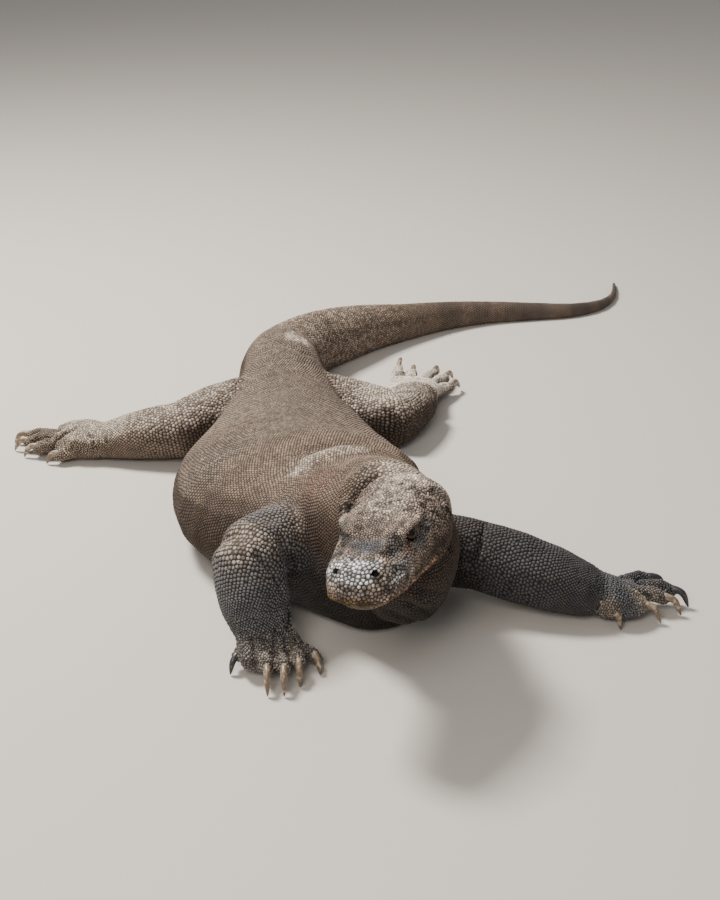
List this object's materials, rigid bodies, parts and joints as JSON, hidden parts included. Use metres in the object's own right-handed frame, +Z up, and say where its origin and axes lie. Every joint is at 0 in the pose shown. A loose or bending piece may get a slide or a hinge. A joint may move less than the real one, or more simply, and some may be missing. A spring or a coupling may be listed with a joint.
{
  "type": "komodo dragon",
  "caption": "Still, life-size komodo dragon lying on its belly, head raised and turned, legs spread and tail curved to its left.",
  "frame": {"origin": "middle of the footprint's box, at floor level", "axes": "+Z up; the animal faces -Y, so its left side is +X"},
  "size_m": [1.214, 1.7694, 0.2648],
  "materials": {
    "hide": "dusty grey-brown beaded reptile skin, paler on the crown and hind feet",
    "dark_hide": "dark slate beaded reptile skin of the forelegs and tail",
    "claw": "dull horn, dark at the root and muddy beige on top",
    "eye": "wet and glossy, dark brown"
  },
  "bodies": {
    "root": {"head": "hide", "lower_jaw": "hide", "eye_left": "eye", "eye_right": "eye", "neck": "hide", "chest": "hide", "belly": "hide", "hips": "hide", "tail_1": "hide", "tail_2": "hide", "tail_3": "dark_hide", "tail_4": "dark_hide", "tail_5": "dark_hide", "upper_arm_front_right": "dark_hide", "forearm_front_right": "dark_hide", "hand_front_right": "dark_hide", "claw_front_right_1": "claw", "claw_front_right_2": "claw", "claw_front_right_3": "claw", "claw_front_right_4": "claw", "claw_front_right_5": "claw", "upper_arm_front_left": "dark_hide", "forearm_front_left": "dark_hide", "hand_front_left": "dark_hide", "claw_front_left_1": "claw", "claw_front_left_2": "claw", "claw_front_left_3": "claw", "claw_front_left_4": "claw", "claw_front_left_5": "claw", "thigh_hind_right": "hide", "shank_hind_right": "hide", "foot_hind_right": "hide", "claw_hind_right_1": "claw", "claw_hind_right_2": "claw", "claw_hind_right_3": "claw", "claw_hind_right_4": "claw", "claw_hind_right_5": "claw", "thigh_hind_left": "hide", "shank_hind_left": "hide", "foot_hind_left": "hide", "claw_hind_left_1": "claw", "claw_hind_left_2": "claw", "claw_hind_left_3": "claw", "claw_hind_left_4": "claw", "claw_hind_left_5": "claw"}
  },
  "joints": []
}
